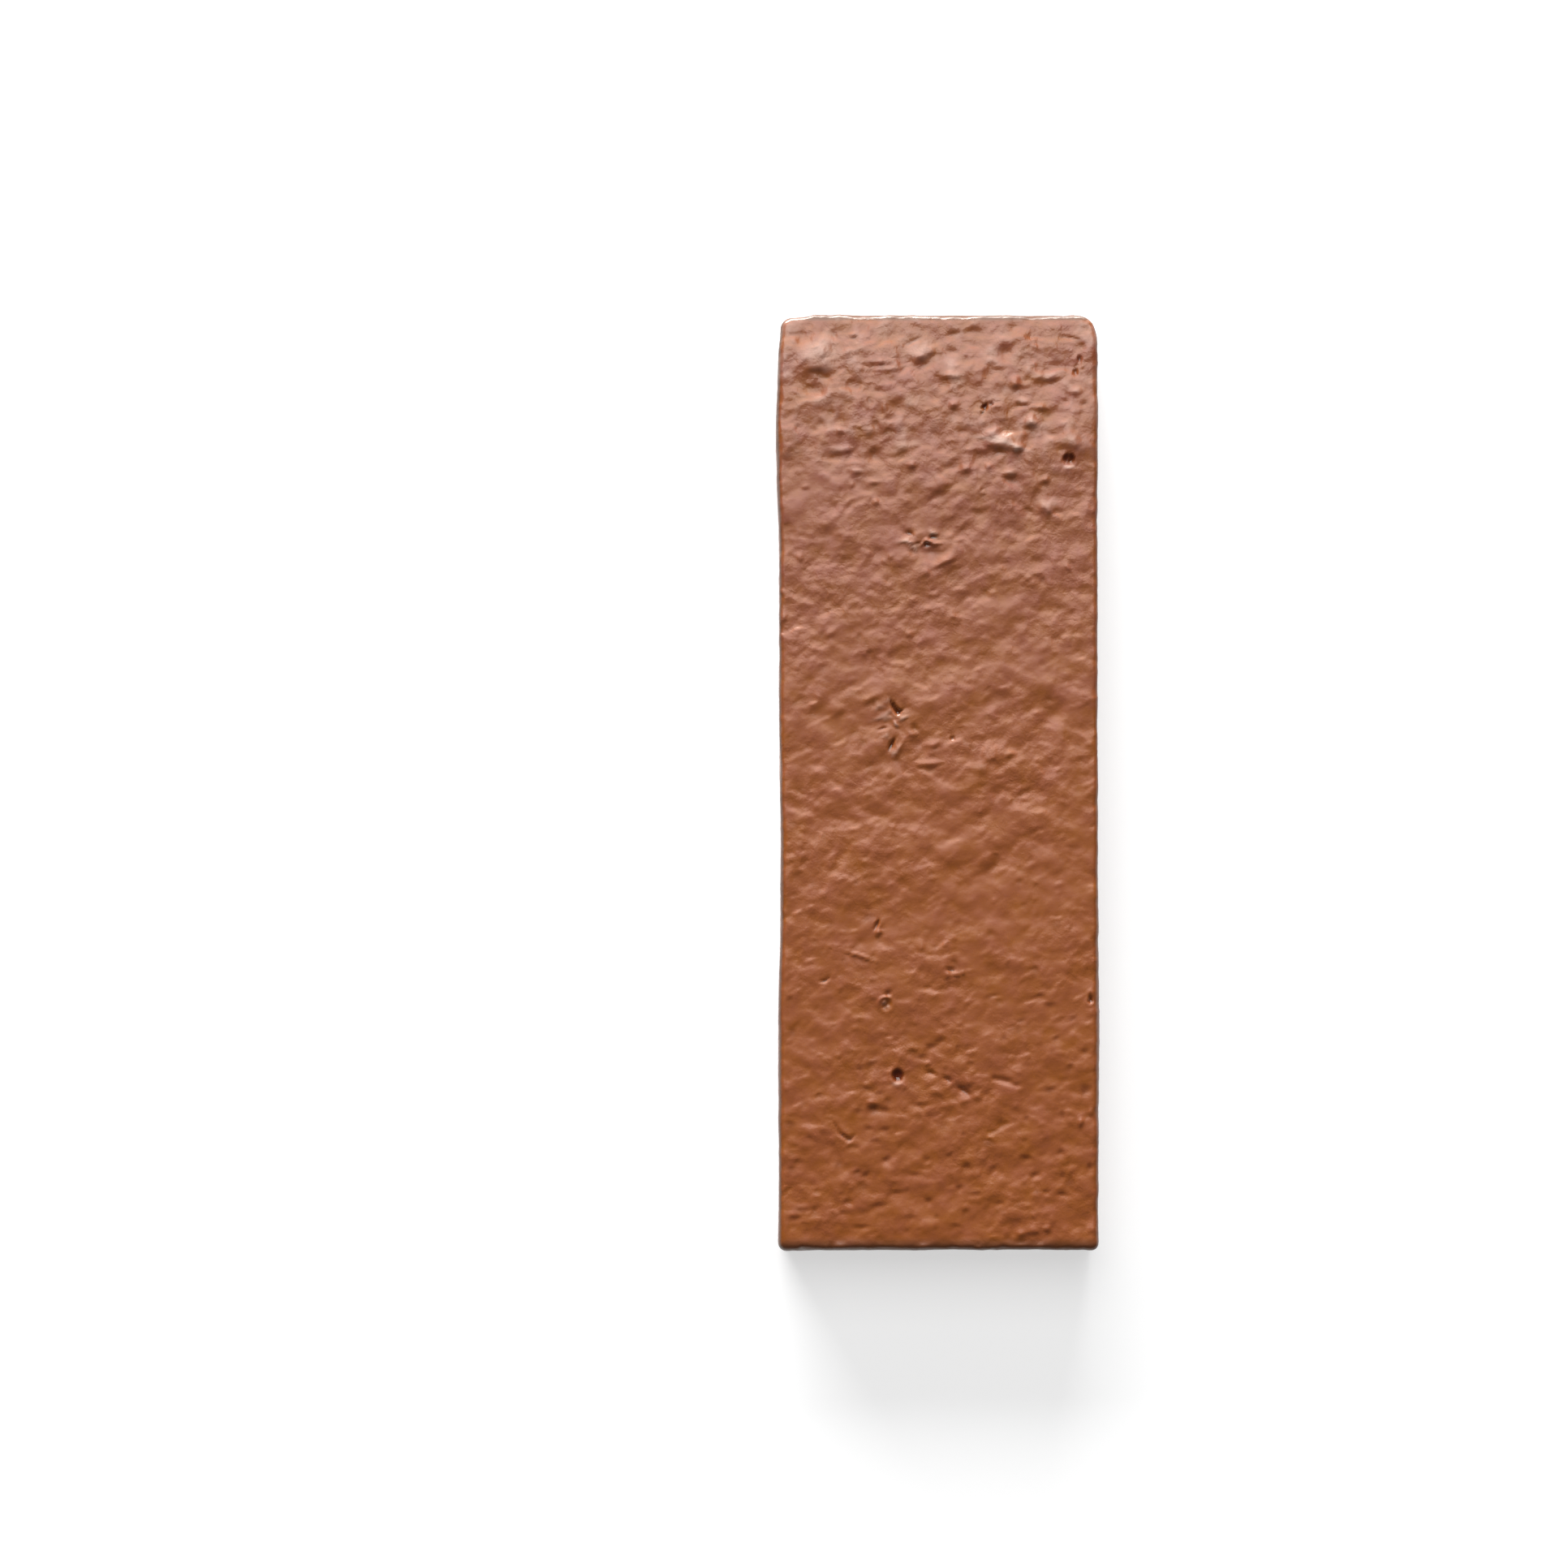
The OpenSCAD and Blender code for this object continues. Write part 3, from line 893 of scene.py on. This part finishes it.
def far_pits(skin):
    """The dark pits near the far end, whose dark insides are painted shade."""
    skin.press(9.3, 75.8, 1.9, 2.0, 10, 0.35, dark=0.5, skew=-0.3, uneven=0.2)
    skin.paint(9.2, 76.1, 1.5, 1.5, 10, steep=0.5, dark=1.0, uneven=0.2)
    skin.press(10.6, 76.6, 1.0, 1.3, 10, 0.2, steep=0.2, dark=0.8)
    skin.press(8.8, 74.8, 0.9, 1.2, -20, 0.2, dark=0.6)
    skin.press(28.4, 85.6, 1.1, 1.8, 10, 0.35, dark=0.85, skew=-0.4)
    skin.press(27.6, 82.8, 1.2, 2.0, 5, 0.3, dark=0.6, skew=-0.4)
    skin.press(8.7, 59.3, 0.9, 0.9, 0, 0.3, lip=0.2, dark=0.2)


def round_pits(skin):
    """The round pit at the right and the oval pit of the near third, each with painted shade inside and a
    pale near rim of painted sheen.
    """
    skin.press(26.2, 65.3, 2.6, 2.7, 0, 0.32, steep=0.3, lip=0.06, dark=0.35, uneven=0.02)
    skin.paint(25.6, 65.9, 1.4, 2.0, -20, steep=0.5, dark=1.0, uneven=0.02)
    skin.paint(26.8, 65.9, 1.4, 2.0, 20, steep=0.5, dark=1.0, uneven=0.02)
    skin.paint(26.2, 65.5, 2.1, 1.7, 0, steep=0.4, dark=0.8, uneven=0.02)
    skin.paint(26.2, 63.9, 2.8, 1.0, 0, milky=0.55, uneven=0.02)
    skin.press(-8.3, -58.8, 2.5, 3.0, 10, 0.36, steep=0.3, lip=0.08, dark=0.35, uneven=0.02)
    skin.paint(-8.3, -58.6, 2.6, 2.8, 10, steep=0.6, dark=1.0, uneven=0.02)
    skin.paint(-8.5, -60.4, 2.8, 1.0, 5, milky=0.3, uneven=0.02)
    skin.press(-7.1, -61.1, 1.4, 0.7, 20, -0.2)


def mark_by_hand(mesh):
    """The marks that can be told apart on the brick."""
    skin = Skin(mesh)
    uneven_outline(skin)
    broad_folds(skin)
    soft_hollows(skin)
    soft_knobs(skin)
    milky_patches(skin)
    short_dimples(skin)
    cracks_and_creases(skin)
    torn_spot(skin)
    star_tear(skin)
    near_half_marks(skin)
    far_pits(skin)
    round_pits(skin)
    skin.finish()


# ---------------------------------------------------------------- materials

# Painted shade for the arris and for the rims of both ends
EDGE_SHADE_BROWN = (0.085, 0.028, 0.010, 1)
# Pooled glaze, darker in hollows, which also serves as painted shade there
POOLED_AND_SHADED_BROWN = (0.165, 0.036, 0.004, 1)
# Pale painted sheen, for glossy patches, pale flakes and lit pit rims
PAINTED_SHEEN_COLOUR = (0.55, 0.39, 0.32, 1)
# Painted shade for the insides of holes, cracks and creases
HOLE_SHADE_BROWN = (0.075, 0.012, 0.003, 1)
CLAY_SPECK = (0.17, 0.06, 0.035, 1)
CLAY_DUST = (0.58, 0.36, 0.24, 1)


def new_material(name):
    material = bpy.data.materials.new(name)
    material.use_nodes = True
    material.node_tree.nodes.clear()
    return material, Graph(material.node_tree)


def finish_material(g, sockets):
    """A Principled surface with these inputs, wired to the output."""
    shader = g.node("ShaderNodeBsdfPrincipled", sockets)
    g.node("ShaderNodeOutputMaterial", {"Surface": shader.outputs[0]})


def colour_mix(g, share, a, b):
    made = g.node("ShaderNodeMix", {0: share}, data_type="RGBA")
    g.feed(made.inputs[6], a)
    g.feed(made.inputs[7], b)
    return made.outputs[2]


def place_in_mm(g):
    return g.scaled(g.node("ShaderNodeTexCoord").outputs["Object"], 1 / MM)


def attribute(g, name):
    return Value(g, g.node("ShaderNodeAttribute", attribute_name=name).outputs["Fac"])


def clay_group():
    """Fired clay: a warm speckled body with drag marks across it. Height is in millimetres."""
    tree, g = new_tree("ShaderNodeTree", "fired_clay", [
        ("Place", "NodeSocketVector", None),
        ("Light Colour", "NodeSocketColor", (0.56, 0.27, 0.15, 1)),
        ("Dark Colour", "NodeSocketColor", (0.44, 0.185, 0.095, 1)),
        ("Drag Marks", "NodeSocketFloat", 0.12),
    ], [("Colour", "NodeSocketColor"), ("Height", "NodeSocketFloat")])
    given = g.given()
    place = given["Place"]
    cloud = g.ramp(g.noise(place, 14.0, detail=3.0, rough=0.6, seed=61.0), -0.4, 0.4)
    body = colour_mix(g, cloud, given["Dark Colour"], given["Light Colour"])
    speck = g.ramp(g.noise(place, 0.9, detail=1.0, seed=63.0), 0.35, 0.5)
    body = colour_mix(g, speck * 0.6, body, CLAY_SPECK)
    dust = g.ramp(g.noise(place, 1.6, detail=2.0, seed=65.0), 0.2, 0.6)
    body = colour_mix(g, dust * 0.3, body, CLAY_DUST)
    drawn = g.noise(g.vector("MULTIPLY", place, (1.0, 0.03, 1.0)), 1.1, detail=3.0, rough=0.6, seed=67.0)
    grit = g.noise(place, 0.5, detail=2.0, rough=0.6, seed=69.0)
    height = drawn * given["Drag Marks"] + grit * 0.05 - speck * 0.05
    g.node("NodeGroupOutput", {"Colour": body, "Height": height})
    return tree


def glaze_body(g, place, along):
    """The brown of a full coat of glaze: lighter and more orange toward the near end, darker toward the far
    end, and pinker on the crests. The change along the brick is painted light that evens out how the lamps
    light it.
    """
    toward_far = g.ramp(along, -20.0, 70.0)
    pinker = g.noise(place, 5.0, detail=4.0, rough=0.65, seed=71.0) + attribute(g, "crest") * 0.8
    pinker = g.ramp(pinker, -0.6, 0.6, smooth=False)
    # The near colours are painted lighter than the far ones, to even out the light along the brick
    near = colour_mix(g, pinker, (0.257, 0.067, 0.0015, 1), (0.257, 0.064, 0.0205, 1))
    far = colour_mix(g, pinker, (0.235, 0.066, 0.005, 1), (0.235, 0.061, 0.036, 1))
    return colour_mix(g, toward_far, near, far)


def painted_edge_shade(g, x, along):
    """How much painted shade darkens the glaze: over the arris, most on its left, and at both end rims."""
    left = g.ramp(x, -28.0, 20.0, 1.0, 0.45)
    near_rim = g.ramp(along, -91.0, -93.2, 0.0, 0.75)
    far_rim = g.ramp(along, 93.2, 94.0, 0.0, 0.92)
    return g.math("MAXIMUM", attribute(g, "arris") * left, g.math("MAXIMUM", near_rim, far_rim))


def milky_film(g, place, along, z):
    """How much painted sheen lies on the glaze: on some knobs, and in faint clouds over the far end of the
    face.
    """
    clouds = g.noise(place, 5.0, detail=2.0, seed=73.0) + attribute(g, "crest") * 1.2
    on_face = g.ramp(z, 12.5, 14.0)
    clouds = g.ramp(clouds, -0.1, 0.9, 0.0, 0.3) * g.ramp(along, 55.0, 75.0) * on_face
    return g.math("MAXIMUM", attribute(g, "milky"), clouds)


def glaze_material(clay_body):
    """Brown gloss glaze, with painted shade where it pools, in the holes and at its edges, painted sheen on
    pale patches, and bare clay below its lower edge.
    """
    material, g = new_material("brown_gloss_glaze")
    place = place_in_mm(g)
    x, along, z = g.parts(place)
    hole_shade = attribute(g, "hole_shade")
    bare = attribute(g, "bare")
    clay = g.node("ShaderNodeGroup", {"Place": place}, node_tree=clay_body)

    colour = glaze_body(g, place, along)
    # Layers over the body colour: painted edge shade, pooled glaze with painted shade, painted sheen, painted
    # shade in holes, then bare clay
    for share, tint in [
        (painted_edge_shade(g, x, along), EDGE_SHADE_BROWN),
        (attribute(g, "pool"), POOLED_AND_SHADED_BROWN),
        (milky_film(g, place, along, z), PAINTED_SHEEN_COLOUR),
        (hole_shade, HOLE_SHADE_BROWN),
        (bare, clay.outputs["Colour"]),
    ]:
        colour = colour_mix(g, share, colour, tint)

    bent = g.vector("ADD", place, g.scaled(g.noise(place, 2.0, detail=1.0, seed=9.0), 0.6))
    grain_depth = (attribute(g, "rough_zone") + 0.3) * 0.016
    grain = g.noise(bent, 0.9, detail=2.0, rough=0.55, seed=4.0) * grain_depth
    height = mix(bare, grain, Value(g, clay.outputs["Height"]))
    bump = g.node("ShaderNodeBump", {"Strength": 1.0, "Distance": MM, "Height": height})

    far_arris = attribute(g, "arris") * g.ramp(along, 90.0, 93.0)
    gloss = g.ramp(along, 50.0, 92.0, 0.365, 0.27) * (1.0 - hole_shade * 0.7)
    roughness = gloss + far_arris * 0.6 + bare * 0.55
    finish_material(g, {
        "Base Color": colour,
        "Roughness": g.math("MINIMUM", roughness, 0.92),
        "IOR": 1.7,
        "Specular Tint": (1.0, 0.98, 0.92, 1),
        "Normal": bump.outputs[0],
    })
    return material


def clay_material(clay_body):
    """The unglazed back, dragged across the drying board."""
    material, g = new_material("bare_clay")
    clay = g.node("ShaderNodeGroup", {"Place": place_in_mm(g), "Drag Marks": 0.2}, node_tree=clay_body)
    bump = g.node("ShaderNodeBump", {"Strength": 1.0, "Distance": MM, "Height": clay.outputs["Height"]})
    finish_material(g, {
        "Base Color": clay.outputs["Colour"],
        "Roughness": 0.9,
        "Normal": bump.outputs[0],
    })
    return material


# ---------------------------------------------------------------- the stage

def pale_material(name, grey, glow):
    """A matt grey that the camera and reflections see as near white.

    glow is how much light it then adds near the brick. Far off it adds 1, which is white.
    """
    material, g = new_material(name)
    x, y = g.parts(g.node("ShaderNodeTexCoord").outputs["Object"])[:2]
    far = g.ramp(g.math("SQRT", x * x + y * y), 0.25, 1.0)
    rays = g.node("ShaderNodeLightPath").outputs
    seen = g.math("MAXIMUM", rays["Is Camera Ray"], rays["Is Glossy Ray"])
    seen = g.math("MAXIMUM", seen, rays["Is Transmission Ray"])
    paint = g.node("ShaderNodeBsdfDiffuse", {"Color": (grey, grey, grey, 1)})
    lift = g.node("ShaderNodeEmission", {"Color": (1, 1, 1, 1), "Strength": seen * mix(far, glow, 1.0)})
    both = g.node("ShaderNodeAddShader", {0: paint.outputs[0], 1: lift.outputs[0]})
    g.node("ShaderNodeOutputMaterial", {"Surface": both.outputs[0]})
    return material


def stage_piece(name, corners, faces, material):
    mesh = bpy.data.meshes.new(name)
    mesh.from_pydata(corners, [], faces)
    mesh.materials.append(material)
    piece = bpy.data.objects.new(name, mesh)
    bpy.context.scene.collection.objects.link(piece)


def stage():
    """A pale floor, 6 m square, and a low pale wall around it that closes the horizon of a side view.

    The floor lies a hair above the brick's back, so that the two never share one plane.
    """
    half = 3.0
    floor_height = 0.00005
    wall_height = 1.0
    ring = [(-half, -half), (half, -half), (half, half), (-half, half)]
    low_ring = [(x, y, floor_height) for x, y in ring]
    high_ring = [(x, y, wall_height) for x, y in ring]
    stage_piece("floor", low_ring, [(0, 1, 2, 3)], pale_material("pale_floor", 0.5, 0.6))
    sides = [(4, 5, 1, 0), (5, 6, 2, 1), (6, 7, 3, 2), (7, 4, 0, 3)]
    stage_piece("backdrop", low_ring + high_ring, sides, pale_material("pale_wall", 0.3, 1.0))


def soft_box(name, at, size_x, size_y, brightness):
    """A rectangular lamp that faces the brick.

    brightness is what a white card, lit by nothing else, shows when the lamp fills its sky.
    """
    light = bpy.data.lights.new(name, "AREA")
    light.shape = "RECTANGLE"
    light.size = size_x
    light.size_y = size_y
    light.energy = brightness * math.pi * size_x * size_y
    lamp = bpy.data.objects.new(name, light)
    lamp.location = at
    lamp.rotation_euler = (-Vector(at)).to_track_quat("-Z", "Y").to_euler()
    bpy.context.scene.collection.objects.link(lamp)


def lamps():
    """A window above the brick, a low lamp beyond its far end, and a weak one below the floor for its back.

    The sheen of the low lamp draws the wrinkles.
    """
    soft_box("window", (-0.05, 0.62, 1.15), 1.0, 0.92, 3.2)
    soft_box("low_light", (-0.49, 2.70, 0.75), 2.24, 0.98, 37.0)
    soft_box("under_light", (0.1, -0.5, -1.2), 1.0, 1.0, 2.5)


def world():
    """A faint even glow from all sides."""
    sky = bpy.data.worlds.new("studio")
    sky.use_nodes = True
    sky.node_tree.nodes.clear()
    g = Graph(sky.node_tree)
    glow = g.node("ShaderNodeBackground", {"Color": (1, 1, 1, 1), "Strength": 0.05})
    g.node("ShaderNodeOutputWorld", {"Surface": glow.outputs[0]})
    bpy.context.scene.world = sky


def camera():
    """Looks straight down from beside the brick, which so lies right of the middle."""
    view_width = 315.7
    distance = 700.0
    beside = 31.2
    cam = bpy.data.cameras.new("camera")
    cam.sensor_width = 36.0
    cam.lens = cam.sensor_width * distance / view_width
    cam.clip_start = 0.01
    cam.clip_end = 20.0
    holder = bpy.data.objects.new("camera", cam)
    holder.location = (-beside * MM, 0.0, (THICKNESS + distance) * MM)
    bpy.context.scene.collection.objects.link(holder)
    bpy.context.scene.camera = holder


camera()
world()
stage()
lamps()

clay_body = clay_group()
brick = made_by("glazed_brick", slab_tree(), {
    "Width": WIDTH,
    "Length": LENGTH,
    "Thickness": THICKNESS,
    "Glaze": glaze_material(clay_body),
    "Clay": clay_material(clay_body),
})
mark_by_hand(brick.data)
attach(brick, "root")
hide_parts("thin_brick")

bpy.context.scene.view_settings.view_transform = "Standard"
bpy.context.view_layer.update()
